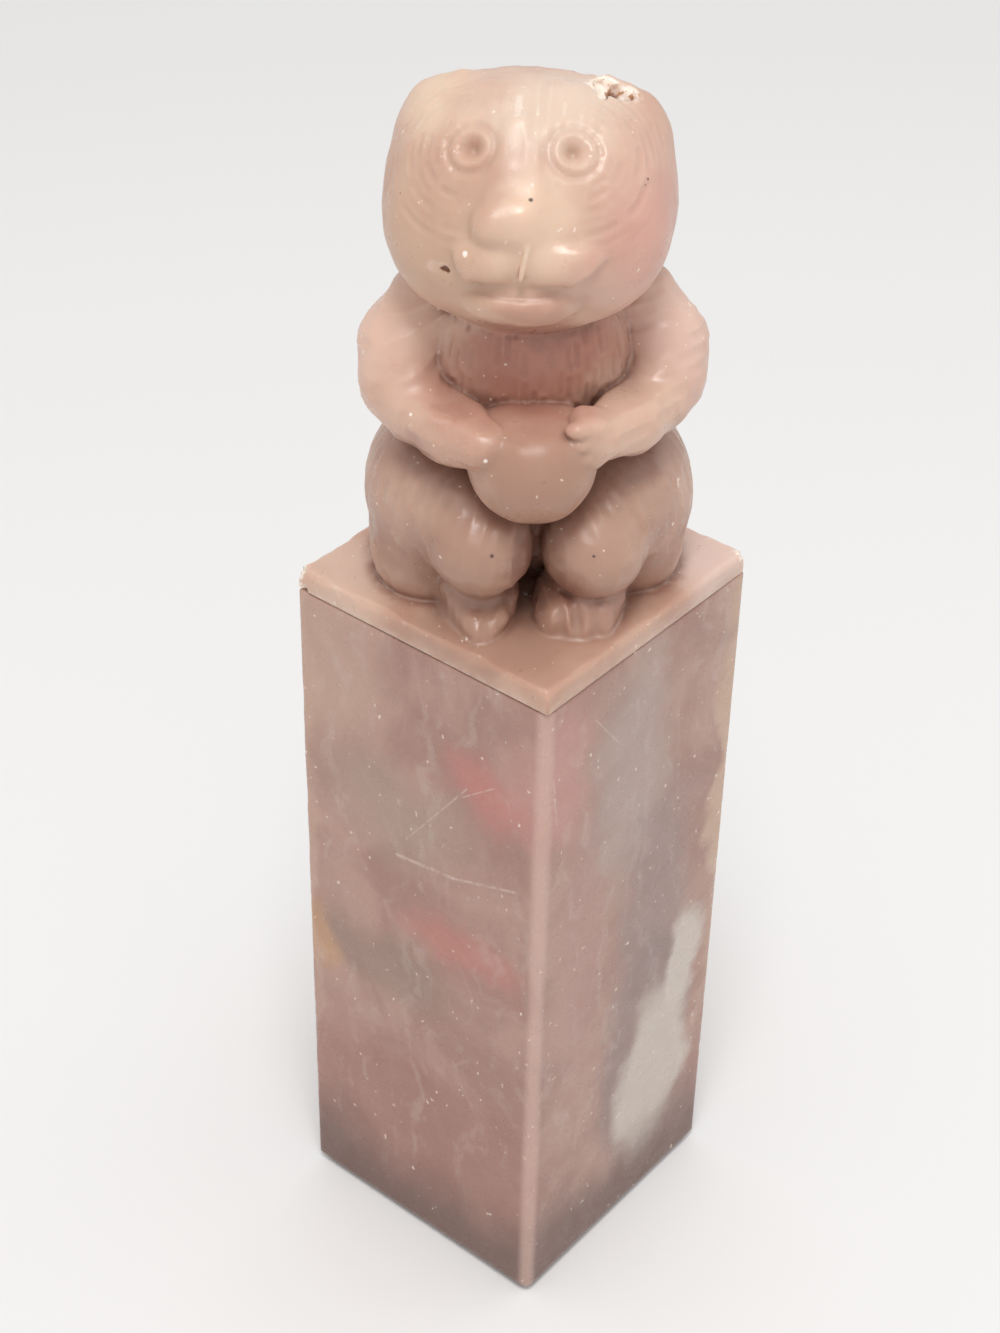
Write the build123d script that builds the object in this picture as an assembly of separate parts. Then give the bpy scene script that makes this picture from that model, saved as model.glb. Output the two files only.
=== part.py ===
from build123d import *
import os
from math import cos, pi, sin

# A hand-carved soapstone seal: a square shaft with the seal face below, and on
# top a cap stone carved as a seated animal with a pot in its forepaws. The cap
# is set on the shaft in a thin bed of glue. Lengths are in millimetres.
# The origin is the centre of the seal face, +Z goes up the shaft, and X and Y
# are square to its sides. The animal looks out over the (-X, -Y) corner.

# Shaft
seal_side = 25.0
shaft_height = 64.7
upright_chamfer = 0.6
foot_bevel = 0.9

# Seal face, in relief: a raised frame round a lattice of raised petals
relief_depth = 0.8
frame_width = 1.7
frame_gap = 0.9
petal_width = 3.2
lattice_cells = 2

# Glue bed
glue_thickness = 0.15
glue_setback = 0.3

# Plate of the cap stone
plate_thickness = 1.95
plate_chamfer = 0.25

# Animal, from the plate's upper face to its crown
animal_height = 39.8

# Stance. The animal is laid out looking along -Y with +X to the viewer's right,
# and then turned to face the corner. Its head is turned further and lifted.
figure_turn = -45.0
head_turn = -11.0
head_lift = 12.0
foot_draft = 12.0

# The animal is cut from the same square stock as the shaft, so it is laid out in
# shares: across the stone, of the shaft's side, and in level, of the animal's
# height. Every form is a row of sections joined by flat knife cuts, and these
# are the cuts that go round each kind of form.
body_cuts = 32
limb_cuts = 20
face_cuts = 14

figure_shift_share = 0.008
head_shift_share = -0.012
head_level_share = 0.769

# Trunk, from the seat to the neck: level, width, shift, setback
trunk_depth_share = 0.82
trunk_shares = (
    (-0.015, 0.60, 0, 0.08),
    (0.05, 0.69, 0, 0.08),
    (0.125, 0.756, 0, 0.08),
    (0.22, 0.79, 0, 0.08),
    (0.29, 0.756, 0, 0.076),
    (0.35, 0.70, 0, 0.07),
    (0.42, 0.69, 0, 0.065),
    (0.485, 0.688, 0, 0.065),
    (0.55, 0.64, 0, 0.06),
    (0.605, 0.52, 0, 0.05),
    (0.668, 0.38, 0, 0.04),
)

# Haunch: its shift and setback, and its level and width from the plate up
haunch_depth_share = 1.33
haunch_place_shares = (0.285, 0.01)
haunch_shares = (
    (-0.015, 0.416),
    (0.04, 0.436),
    (0.10, 0.44),
    (0.175, 0.432),
    (0.25, 0.396),
    (0.30, 0.32),
    (0.335, 0.184),
)

# Thigh, from the shin up over the knee to the hip: level, width, shift, setback
thigh_depth_share = 1.0
thigh_shares = (
    (0.04, 0.256, 0.156, -0.276),
    (0.085, 0.288, 0.158, -0.286),
    (0.135, 0.312, 0.162, -0.288),
    (0.186, 0.328, 0.174, -0.268),
    (0.231, 0.336, 0.20, -0.216),
    (0.274, 0.304, 0.232, -0.144),
    (0.303, 0.224, 0.258, -0.08),
    (0.318, 0.13, 0.272, -0.05),
)

# Feet: the left one comes to a point, the right one is square and has three toes
foot_shift_share = 0.152
foot_reach_share = 0.436
foot_length_share = 0.15
foot_level_share = 0.065
foot_seat_share = 0.015
heel_width_share = 0.29
left_toe_width_share = 0.07
right_toe_width_share = 0.25
foot_round_share = 0.02
toe_groove_share = 0.024
toes = 3

# Arms, from the shoulder round the elbow to the wrist: shift, reach, level, thickness
left_arm_shares = (
    (0.12, -0.08, 0.61, 0.18),
    (0.22, -0.065, 0.59, 0.25),
    (0.32, -0.04, 0.55, 0.27),
    (0.382, 0.01, 0.495, 0.26),
    (0.394, 0.06, 0.44, 0.24),
    (0.355, 0.125, 0.405, 0.224),
    (0.265, 0.235, 0.388, 0.20),
    (0.17, 0.355, 0.384, 0.15),
)
right_arm_shares = (
    (0.12, -0.08, 0.61, 0.18),
    (0.22, -0.065, 0.59, 0.25),
    (0.32, -0.04, 0.545, 0.27),
    (0.388, 0.01, 0.49, 0.255),
    (0.398, 0.06, 0.435, 0.23),
    (0.352, 0.135, 0.41, 0.212),
    (0.25, 0.255, 0.405, 0.188),
    (0.15, 0.365, 0.41, 0.15),
)

# Paws, laid on the pot's sides: the shift and level of each, and reach and width
paw_height_share = 1.3
left_paw_place_shares = (-0.165, 0.387)
right_paw_place_shares = (0.122, 0.414)
paw_shares = (
    (0.30, 0.128),
    (0.39, 0.122),
    (0.422, 0.094),
    (0.44, 0.05),
)

# Pot: its shift and setback, and its level and width from the foot up
pot_depth_share = 1.0
pot_place_shares = (-0.028, -0.316)
pot_shares = (
    (0.249, 0.184),
    (0.267, 0.264),
    (0.30, 0.344),
    (0.342, 0.376),
    (0.382, 0.372),
    (0.414, 0.344),
    (0.431, 0.30),
    (0.44, 0.22),
)

# Skull, with levels from its middle: level, width
skull_depth_share = 0.88
skull_shares = (
    (-0.222, 0.26),
    (-0.195, 0.46),
    (-0.15, 0.63),
    (-0.09, 0.76),
    (-0.02, 0.825),
    (0.05, 0.835),
    (0.105, 0.80),
    (0.15, 0.73),
    (0.185, 0.61),
    (0.207, 0.46),
    (0.218, 0.30),
)

# Muzzle, lips and chin: the shift and level of each, and reach and width
muzzle_height_share = 0.72
muzzle_place_shares = (0.008, -0.03)
muzzle_shares = (
    (0.16, 0.62),
    (0.28, 0.56),
    (0.35, 0.46),
    (0.395, 0.32),
)
lip_height_share = 0.74
left_lip_place_shares = (-0.094, -0.046)
left_lip_shares = (
    (0.30, 0.22),
    (0.39, 0.22),
    (0.415, 0.17),
    (0.425, 0.09),
)
right_lip_place_shares = (0.112, -0.046)
right_lip_shares = (
    (0.29, 0.25),
    (0.38, 0.25),
    (0.408, 0.19),
    (0.42, 0.10),
)
chin_height_share = 0.5
chin_place_shares = (0.008, -0.126)
chin_shares = (
    (0.20, 0.36),
    (0.325, 0.34),
    (0.36, 0.26),
    (0.375, 0.15),
)

# Mouth, a cleft that opens forward under the lips: its shift and level, and reach and width
mouth_height_share = 0.06
mouth_place_shares = (0.012, -0.102)
mouth_shares = (
    (0.32, 0.30),
    (0.46, 0.44),
)

# Nose, from the brow down its ridge to the tip: shift, reach, level, thickness
nose_shares = (
    (-0.014, 0.296, 0.168, 0.085),
    (-0.014, 0.33, 0.118, 0.13),
    (-0.022, 0.352, 0.07, 0.165),
    (-0.028, 0.382, 0.036, 0.188),
    (-0.03, 0.422, 0.02, 0.165),
    (-0.03, 0.446, 0.014, 0.095),
)

# Ear, along its rim: shift, reach, level, thickness
ear_shares = (
    (0.34, -0.026, 0.135, 0.06),
    (0.30, -0.024, 0.158, 0.12),
    (0.21, -0.01, 0.19, 0.12),
    (0.16, -0.008, 0.202, 0.06),
)

# Eyes: shift and level of each, and the steps of a ring with a hollow in it
left_eye_shares = (-0.144, 0.131)
right_eye_shares = (0.137, 0.134)
eye_ring_share = 0.134
eye_crest_share = 0.108
eye_hollow_share = 0.066
eye_pit_share = 0.033
eye_stand_share = 0.016
eye_depth_share = 0.03

# Levels up the object
plate_level = shaft_height + glue_thickness
figure_level = plate_level + plate_thickness


def plan(share):
    """A length across the stone."""
    return share * seal_side


def rise(share):
    """A length up the animal."""
    return share * animal_height


def oval(width, height, cuts):
    """A section of the stone, bounded by that many straight cuts."""
    step = 2 * pi / cuts
    corners = [(width / 2 * cos(index * step), height / 2 * sin(index * step)) for index in range(cuts)]
    return Polygon(*corners, align=None)


def stacked(rows, depth_share, cuts):
    """Level sections one above another: level and width, and shift and setback if they wander."""
    sections = []
    for level, width, *place_shares in rows:
        shift, setback = place_shares or (0, 0)
        place = Pos(plan(shift), plan(setback), rise(level))
        sections.append(place * oval(plan(width), plan(width) * depth_share, cuts))
    return loft(sections, ruled=True)


def thrust(rows, place_shares, height_share, cuts):
    """Upright sections, each further forward than the last: reach and width."""
    shift, level = place_shares
    sections = []
    for reach, width in rows:
        place = Plane(origin=(plan(shift), -plan(reach), rise(level)), x_dir=(1, 0, 0), z_dir=(0, -1, 0))
        sections.append(place * oval(plan(width), plan(width) * height_share, cuts))
    return loft(sections, ruled=True)


def strung(rows, side, cuts):
    """Round sections along a bent line: shift, reach, level, thickness."""
    centres = [Vector(side * plan(shift), -plan(reach), rise(level)) for shift, reach, level, _ in rows]
    sections = []
    for index, row in enumerate(rows):
        before = centres[max(index - 1, 0)]
        after = centres[min(index + 1, len(rows) - 1)]
        place = Plane(origin=centres[index], x_dir=(0, 0, 1), z_dir=after - before)
        sections.append(place * oval(plan(row[-1]), plan(row[-1]), cuts))
    return loft(sections, ruled=True)


def other_side(rows):
    """The same sections on the viewer's left."""
    return [(level, width, -shift, setback) for level, width, shift, setback in rows]


def joined(forms):
    """One stone from forms that overlap, taken in one after another."""
    stone = forms[0]
    for form in forms[1:]:
        stone = stone + form
    return stone


def petal(length, width):
    """A pointed leaf between two equal arcs, lying along X."""
    left_tip = (-length / 2, 0)
    right_tip = (length / 2, 0)
    upper_arc = ThreePointArc(left_tip, (0, width / 2), right_tip)
    lower_arc = ThreePointArc(right_tip, (0, -width / 2), left_tip)
    return make_face(Curve([upper_arc, lower_arc]))


def petal_lattice(lattice_side):
    """A petal on every side of the lattice's square cells."""
    cell = lattice_side / lattice_cells
    petals = []
    for line in range(lattice_cells + 1):
        across = line * cell - lattice_side / 2
        for step in range(lattice_cells):
            along = (step + 0.5) * cell - lattice_side / 2
            petals.append(Pos(along, across) * petal(cell, petal_width))
            petals.append(Pos(across, along) * Rot(0, 0, 90) * petal(cell, petal_width))
    return petals


def make_seal_block():
    block = extrude(Rectangle(seal_side, seal_side), amount=shaft_height)
    block = chamfer(block.edges().filter_by(Axis.Z), upright_chamfer)
    block = chamfer(block.faces().sort_by(Axis.Z)[0].edges(), foot_bevel)
    field_side = seal_side - 2 * (foot_bevel + frame_width)
    lattice_side = field_side - 2 * frame_gap - petal_width
    ground = Rectangle(field_side, field_side) - petal_lattice(lattice_side)
    return block - extrude(ground, amount=relief_depth)


def make_glue_bed():
    side = seal_side - 2 * glue_setback
    return Pos(0, 0, shaft_height) * extrude(Rectangle(side, side), amount=glue_thickness)


def make_plate():
    plate = extrude(Rectangle(seal_side, seal_side), amount=plate_thickness)
    plate = chamfer(plate.edges().filter_by(Axis.Z), plate_chamfer)
    plate = chamfer(plate.faces().sort_by(Axis.Z)[-1].edges(), plate_chamfer)
    return Pos(0, 0, plate_level) * plate


def make_foot(side, toe_width):
    """A wedge under the knee, narrower at the toes."""
    front = -plan(foot_reach_share)
    back = front + plan(foot_length_share)
    heel_width = plan(heel_width_share)
    sole = Polygon(
        (-toe_width / 2, front),
        (toe_width / 2, front),
        (heel_width / 2, back),
        (-heel_width / 2, back),
        align=None,
    )
    sole = chamfer(sole.vertices(), plan(foot_round_share))
    height = rise(foot_level_share + foot_seat_share)
    foot = extrude(sole, amount=height, taper=foot_draft)
    return Pos(side * plan(foot_shift_share), 0, -rise(foot_seat_share)) * foot


def make_toed_foot(side, toe_width):
    """A foot whose front edge is cut into toes by upright grooves."""
    foot = make_foot(side, toe_width)
    groove_side = plan(toe_groove_share)
    for index in range(1, toes):
        shift = side * plan(foot_shift_share) + (index / toes - 1 / 2) * toe_width
        groove = extrude(Rectangle(groove_side, groove_side), amount=rise(foot_level_share))
        foot = foot - Pos(shift, -plan(foot_reach_share), 0) * Rot(0, 0, 45) * groove
    return foot


def eye_section(seat, stand_share, width_share):
    """A round section of an eye, standing that far out of its seat."""
    width = plan(width_share)
    return seat.offset(plan(stand_share)) * oval(width, width, limb_cuts)


def make_eye(skull, place_shares):
    """A raised ring and the hollow inside it, square to the skull."""
    shift, level = place_shares
    ahead = Axis((plan(shift), -seal_side, rise(level)), (0, 1, 0))
    centre, outward = skull.find_intersection_points(ahead)[0]
    seat = Plane(origin=centre, z_dir=outward)
    ring = [
        eye_section(seat, -eye_depth_share, eye_ring_share),
        eye_section(seat, 0, eye_ring_share),
        eye_section(seat, eye_stand_share, eye_crest_share),
    ]
    hollow = [
        eye_section(seat, -eye_depth_share, eye_pit_share),
        eye_section(seat, eye_stand_share, eye_hollow_share),
    ]
    return loft(ring, ruled=True), loft(hollow, ruled=True)


def make_head():
    skull = stacked(skull_shares, skull_depth_share, body_cuts)
    left_ring, left_hollow = make_eye(skull, left_eye_shares)
    right_ring, right_hollow = make_eye(skull, right_eye_shares)
    forms = [
        skull,
        thrust(muzzle_shares, muzzle_place_shares, muzzle_height_share, limb_cuts),
        thrust(chin_shares, chin_place_shares, chin_height_share, face_cuts),
        thrust(left_lip_shares, left_lip_place_shares, lip_height_share, face_cuts),
        thrust(right_lip_shares, right_lip_place_shares, lip_height_share, face_cuts),
        strung(nose_shares, 1, face_cuts),
        strung(ear_shares, -1, face_cuts),
        strung(ear_shares, 1, face_cuts),
        left_ring,
        right_ring,
    ]
    mouth = thrust(mouth_shares, mouth_place_shares, mouth_height_share, face_cuts)
    head = joined(forms) - mouth - left_hollow - right_hollow
    place = Pos(plan(head_shift_share), 0, rise(head_level_share))
    return place * Rot(0, 0, head_turn) * Rot(-head_lift, 0, 0) * head


def make_haunch(side):
    shift, setback = haunch_place_shares
    haunch = stacked(haunch_shares, haunch_depth_share, body_cuts)
    return Pos(side * plan(shift), plan(setback), 0) * haunch


def make_pot():
    shift, setback = pot_place_shares
    return Pos(plan(shift), plan(setback), 0) * stacked(pot_shares, pot_depth_share, limb_cuts)


def make_animal():
    forms = [
        stacked(trunk_shares, trunk_depth_share, body_cuts),
        make_haunch(-1),
        make_haunch(1),
        stacked(other_side(thigh_shares), thigh_depth_share, limb_cuts),
        stacked(thigh_shares, thigh_depth_share, limb_cuts),
        make_foot(-1, plan(left_toe_width_share)),
        make_toed_foot(1, plan(right_toe_width_share)),
        make_pot(),
        strung(left_arm_shares, -1, limb_cuts),
        strung(right_arm_shares, 1, limb_cuts),
        thrust(paw_shares, left_paw_place_shares, paw_height_share, face_cuts),
        thrust(paw_shares, right_paw_place_shares, paw_height_share, face_cuts),
        make_head(),
    ]
    place = Pos(0, 0, figure_level) * Rot(0, 0, figure_turn) * Pos(plan(figure_shift_share), 0, 0)
    return [place * form for form in forms]


def make_carved_top():
    return joined([make_plate()] + make_animal())


os.makedirs("parts", exist_ok=True)
export_step(make_seal_block(), "parts/seal_block.step")
export_step(make_glue_bed(), "parts/glue_bed.step")
export_step(make_carved_top(), "parts/carved_top.step")
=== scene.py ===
import math

import bpy
import numpy as np
from mathutils import Matrix, Vector


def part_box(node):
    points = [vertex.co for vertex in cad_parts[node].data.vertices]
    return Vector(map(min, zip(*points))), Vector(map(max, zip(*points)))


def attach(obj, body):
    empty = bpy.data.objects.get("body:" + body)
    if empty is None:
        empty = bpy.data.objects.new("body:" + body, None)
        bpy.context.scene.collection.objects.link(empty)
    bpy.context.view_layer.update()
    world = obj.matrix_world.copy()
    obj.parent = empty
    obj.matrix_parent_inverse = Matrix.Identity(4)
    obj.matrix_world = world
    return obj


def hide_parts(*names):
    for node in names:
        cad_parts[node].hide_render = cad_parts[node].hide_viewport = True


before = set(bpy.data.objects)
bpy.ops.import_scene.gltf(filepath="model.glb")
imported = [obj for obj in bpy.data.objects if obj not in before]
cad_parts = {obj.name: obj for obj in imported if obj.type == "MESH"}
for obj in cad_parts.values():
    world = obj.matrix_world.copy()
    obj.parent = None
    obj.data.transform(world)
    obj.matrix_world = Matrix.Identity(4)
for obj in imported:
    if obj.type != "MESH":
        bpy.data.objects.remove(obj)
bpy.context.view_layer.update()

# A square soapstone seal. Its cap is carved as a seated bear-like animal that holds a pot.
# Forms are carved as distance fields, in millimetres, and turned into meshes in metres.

MM = 0.001
SIDE = 1000 * (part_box("seal_block")[1][0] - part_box("seal_block")[0][0])
HALF_SIDE = SIDE / 2
SHAFT_TOP = 1000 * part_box("seal_block")[1][2]
PLATE_BOTTOM = 1000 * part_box("carved_top")[0][2]
PLATE_THICKNESS = 1.95
PLATE_TOP = PLATE_BOTTOM + PLATE_THICKNESS
FIGURE_TURN = -45.0

CARVING_VOXEL = 0.16
SHAFT_VOXEL = 0.25
CARVING_FACETS = 190000
SHAFT_FACETS = 120000


# Distance fields: negative inside the stone, and lengths in millimetres

TINY = 1e-9
LEAST_OFFSET = 1e-6


def axis_turn(axis, degrees):
    """Rotation matrix about X, Y or Z, used as point @ matrix for the way back."""
    c = math.cos(math.radians(degrees))
    s = math.sin(math.radians(degrees))
    i, j = {"x": (1, 2), "y": (2, 0), "z": (0, 1)}[axis]
    matrix = np.eye(3)
    matrix[i, i] = c
    matrix[j, j] = c
    matrix[i, j] = -s
    matrix[j, i] = s
    return matrix


def join(a, b, blend=0.0):
    """Union of two forms, with a fillet of about the blend's size between them."""
    if blend <= 0:
        return np.minimum(a, b)
    share = np.clip(0.5 + 0.5 * (b - a) / blend, 0, 1)
    return b + (a - b) * share - blend * share * (1 - share)


def cut(a, b, blend):
    """Form a with form b taken out of it."""
    return -join(-a, b, blend)


def keep(a, b, blend):
    """What forms a and b have in common."""
    return -join(-a, -b, blend)


def egg(p, centre, radii, power=2.0):
    """An ellipsoid; a power above 2 squares it up."""
    q = p - np.array(centre)
    r = np.array(radii)
    if power == 2.0:
        size = np.sqrt(((q / r) ** 2).sum(1))
        slope = np.sqrt(((q / r ** 2) ** 2).sum(1)) + TINY
        return size * (size - 1) / slope
    s = np.abs(q / r) + LEAST_OFFSET
    size = (s ** power).sum(1) ** (1 / power)
    slope = np.sqrt((((s / size[:, None]) ** (power - 1) / r) ** 2).sum(1)) + TINY
    return (size - 1) / slope


def limb(p, start, end, start_radius, end_radius):
    """Two balls and the cone that is tangent to both."""
    a = np.array(start, float)
    axis = np.array(end, float) - a
    length2 = axis @ axis
    taper = start_radius - end_radius
    side2 = length2 - taper ** 2
    from_start = p - a
    along = from_start @ axis
    past = along - length2
    across2 = ((from_start * length2 - along[:, None] * axis) ** 2).sum(1)
    along2 = along ** 2 * length2
    past2 = past ** 2 * length2
    limit = np.sign(taper) * taper ** 2 * across2
    side = (np.sqrt(across2 * side2 / length2) + along * taper) / length2 - start_radius
    first = np.sqrt(across2 + along2) / length2 - start_radius
    last = np.sqrt(across2 + past2) / length2 - end_radius
    d = np.where(np.sign(along) * side2 * along2 < limit, first, side)
    return np.where(np.sign(past) * side2 * past2 > limit, last, d)


def chain(p, joints, blend):
    """Limbs from joint to joint; each joint is x, y, z and a radius."""
    d = None
    for a, b in zip(joints, joints[1:]):
        piece = limb(p, a[:3], b[:3], a[3], b[3])
        d = piece if d is None else join(d, piece, blend)
    return d


def slab(p, centre, half, round_by, turn=None):
    """A box with rounded edges."""
    q = p - np.array(centre)
    if turn is not None:
        q = q @ turn
    q = np.abs(q) - (np.array(half) - round_by)
    return np.sqrt((np.maximum(q, 0) ** 2).sum(1)) + np.minimum(q.max(1), 0) - round_by


def plane(p, point, way):
    """Negative behind a plane through the point that faces that way."""
    return (p - np.array(point)) @ np.array(way)


def fade(distance, full, none):
    """1 nearer than full, 0 beyond none, smooth between."""
    t = np.clip((none - distance) / (none - full), 0, 1)
    return t * t * (3 - 2 * t)


NOISE_CELLS = 32
TABLE_SEED = 7
SEED_STEP = 5.37
NOISE_TABLE = np.random.default_rng(TABLE_SEED).uniform(-1, 1, (NOISE_CELLS,) * 3)


def noise(p, wavelength, seed):
    """Smooth noise from -1 to 1."""
    q = p / wavelength + seed * SEED_STEP
    cell = np.floor(q).astype(int)
    t = q - cell
    t = t * t * (3 - 2 * t)
    total = np.zeros(len(p))
    for corner in range(8):
        bits = np.array([corner & 1, corner >> 1 & 1, corner >> 2 & 1])
        weight = np.prod(np.where(bits, t, 1 - t), axis=1)
        i, j, k = ((cell + bits) % NOISE_CELLS).T
        total += weight * NOISE_TABLE[i, j, k]
    return total


def waves(p, depth, wavelength, seed):
    """Smooth noise from -depth to depth."""
    return depth * noise(p, wavelength, seed)


ROW_STAGGER = 3
STROKE_FORCE = 0.55
STROKE_SPREAD = 0.45
STROKE_END_SLOPE = 4


def strokes(u, v, width, length, depth, seed):
    """What a knife took off in strokes that run along v, side by side across u."""
    u = u / width
    column = np.floor(u).astype(int)
    across = u - column - 0.5
    start = NOISE_TABLE[column % NOISE_CELLS, seed % NOISE_CELLS, 0]
    v = v / length + ROW_STAGGER * start
    row = np.floor(v).astype(int)
    along = v - row
    pick = (column % NOISE_CELLS, row % NOISE_CELLS, seed % NOISE_CELLS)
    force = STROKE_FORCE + STROKE_SPREAD * NOISE_TABLE[pick]
    lean = NOISE_TABLE[pick[1], pick[2], pick[0]]
    scoop = 1 - 4 * across ** 2 + lean * across
    ends = np.clip(np.minimum(along, 1 - along) * STROKE_END_SLOPE, 0, 1)
    return depth * force * scoop * ends ** 2 * (3 - 2 * ends)


# The animal, in its own frame: origin on the plate's top, X to the viewer's right, Y to its
# back. Left and right are the viewer's. A named egg is centre, radii and, if it is squared
# up, a power; a limb is start, end and their radii; a plane is a point and the way it faces;
# strokes are width, length, depth and seed; waves are depth, wavelength and seed.

HEAD_CENTRE = np.array([-0.3, 0, 30.6])
HEAD_TURN = axis_turn("z", -11) @ axis_turn("x", -12)


def in_head(p):
    return (p - HEAD_CENTRE) @ HEAD_TURN


def out_of_head(q):
    return q @ HEAD_TURN.T + HEAD_CENTRE


SKULL = ((0.05, 0.1, 0), (10.45, 9.2, 9.15), 2.35)
SKULL_CORNERS = (((-5.6, 0.6, 5.2), (3.4, 3.6, 3)), ((5.6, 0.6, 5.1), (3.6, 3.6, 3.1)))
CORNER_BLEND = 1.8
JAW_TAPER = 0.15
JAW_TAPER_POWER = 1.5
JAW_DEPTH = 8.0


def skull(q):
    """A squared egg, narrower at the jaw, with full corners where the ears sit."""
    low = np.clip(-q[:, 2] / JAW_DEPTH, 0, 1)
    q = q.copy()
    q[:, 0] /= 1 - JAW_TAPER * low ** JAW_TAPER_POWER
    d = egg(q, *SKULL)
    for corner in SKULL_CORNERS:
        d = join(d, egg(q, *corner), CORNER_BLEND)
    return d


FRONT_LIMIT = -14.0
FRONT_HALVINGS = 30


def front_of(form, x, z):
    """The form's point at that x and z, on its front."""
    outside = FRONT_LIMIT
    inside = 0.0
    for _ in range(FRONT_HALVINGS):
        middle = (outside + inside) / 2
        if form(np.array([[x, middle, z]]))[0] > 0:
            outside = middle
        else:
            inside = middle
    return np.array([x, inside, z])


# Each eye: x, z and radius in the head's frame
EYES = ((-3.6, 5.22, 1.18), (3.42, 5.35, 1.22))
EYE_NUDGE = 0.05
EYE_LINE_WIDTH = 0.3
EYE_GROOVE_DEPTH = 0.2
EYE_GROOVE_OUT = 0.5
EYE_RING_HEIGHT = 0.08
EYE_BOWL_DEPTH = 0.44
EYE_BOWL_SHARE = 0.72
EYE_PIT_DEPTH = 0.6
EYE_PIT_WIDTH = 0.44
EYE_REACH = (1, 2.5)


def eye_seat(x, z):
    """The skull's point at that x and z, on its front, and the way it faces there."""
    seat = front_of(skull, x, z)
    nudge = EYE_NUDGE * np.eye(3)
    outward = skull(seat + nudge) - skull(seat - nudge)
    return seat, outward / np.linalg.norm(outward)


EYE_SEATS = [(*eye_seat(x, z), radius) for x, z, radius in EYES]


def carve_eye(d, q, seat, outward, radius):
    """A low ring left between a shallow groove and a bowl, with a pit in the bowl."""
    v = q - seat
    height = v @ outward
    r = np.sqrt(np.maximum((v ** 2).sum(1) - height ** 2, 0))
    groove = EYE_GROOVE_DEPTH * np.exp(-((r - radius - EYE_GROOVE_OUT) / EYE_LINE_WIDTH) ** 2)
    ring = EYE_RING_HEIGHT * np.exp(-((r - radius) / EYE_LINE_WIDTH) ** 2)
    bowl = EYE_BOWL_DEPTH * np.exp(-(r / (EYE_BOWL_SHARE * radius)) ** 3)
    pit = EYE_PIT_DEPTH * np.exp(-(r / EYE_PIT_WIDTH) ** 2)
    return d + (groove - ring + bowl + pit) * fade(np.abs(height), *EYE_REACH)


LIP_Z = -3.45
LIP_ROUNDING = 0.2
LIP_BOW_X = 0.2
LIP_BOW_HEIGHT = 0.2
LIP_BOW_WIDTH = 0.5
# Each pad: egg and outer slant
PADS = ((((-2.25, -8.55, -2), (2.45, 2.2, 1.8), 2.4),
         ((-3.6, 0, LIP_Z), (-0.9, 0, -0.43))),
        (((3, -8.25, -1.95), (3.2, 2.25, 1.85), 2.4),
         ((3.7, 0, LIP_Z), (0.64, 0, -0.77))))
PAD_ROUNDING = 0.3
PAD_BLEND = 0.25


def lip_pads(q):
    """Two pads that overhang the mouth, flat below, each cut off at a slant outside."""
    left, right = (keep(egg(q, *pad), plane(q, *slant), PAD_ROUNDING) for pad, slant in PADS)
    bow = LIP_Z + LIP_BOW_HEIGHT * np.exp(-((q[:, 0] - LIP_BOW_X) / LIP_BOW_WIDTH) ** 2)
    return keep(join(left, right, PAD_BLEND), bow - q[:, 2], LIP_ROUNDING)


MUZZLE = ((0.2, -6.1, -1.1), (5.6, 3.9, 3.9))
CHEEKS = (((-4.9, -4.6, -1.8), (3.9, 3.5, 4.2)), ((5.3, -4.4, -1.8), (4, 3.6, 4.2)))
CHEEK_BLEND = 2.2
JAW = ((0.2, -5, -4.2), (4.6, 4.1, 2.6))
JAW_BLEND = 0.8


def muzzle(q):
    """The broad low swelling that carries nose, lips and chin."""
    d = egg(q, *MUZZLE)
    for cheek in CHEEKS:
        d = join(d, egg(q, *cheek), CHEEK_BLEND)
    return join(d, egg(q, *JAW), JAW_BLEND)


CHIN = ((0.2, -6.9, -4.95), (4.35, 3.05, 1.95), 2.2)
CHIN_MIDDLE = 0.2
CHIN_TOP = -4.5
CHIN_BEND = 0.045
CHIN_ROUNDING = 0.8


def chin(q):
    """A half moon under the mouth, nearly flat on top and set back from the lips."""
    top = CHIN_TOP + CHIN_BEND * (q[:, 0] - CHIN_MIDDLE) ** 2
    return keep(egg(q, *CHIN), q[:, 2] - top, CHIN_ROUNDING)


MOUTH_MIDDLE = 0.3
MOUTH_DROP = 0.3
MOUTH_BEND = 0.03
MOUTH_HALF_LENGTH = 3.0
MOUTH_WIDTH = 0.36
MOUTH_DEPTH = 0.15
MOUTH_FRONT = (-7.4, -5.8)


def carve_mouth(d, q):
    """The cleft under the pads."""
    x = q[:, 0] - MOUTH_MIDDLE
    level = LIP_Z - MOUTH_DROP + MOUTH_BEND * x ** 2
    past_end = np.maximum(np.abs(x) - MOUTH_HALF_LENGTH, 0)
    distance = np.sqrt((q[:, 2] - level) ** 2 + past_end ** 2)
    cleft = MOUTH_DEPTH * np.exp(-(distance / MOUTH_WIDTH) ** 2)
    return d + cleft * fade(q[:, 1], *MOUTH_FRONT)


RIDGE = ((-0.45, -6.5, 6.3), (-0.5, -8.2, 2.2), 1.05, 2.1)
RIDGE_FRONT = ((0, -7.4, 6.2), (0, -1, 0.6))
RIDGE_ROUNDING = 0.5
BULB = ((-0.4, -9.3, 0.55), (2.85, 1.7, 1.65), 2.2)
BULB_BLEND = 1.5
NOSE_TIP = ((-1.8, -9.95, 0.45), (1.3, 1.2, 1.25))
NOSE_TIP_BLEND = 0.6
NOSE_RIGHT_SIDE = ((1.4, -10.6, 0), (0.8, -0.6, 0))
NOSE_ROUNDING = 0.9


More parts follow.
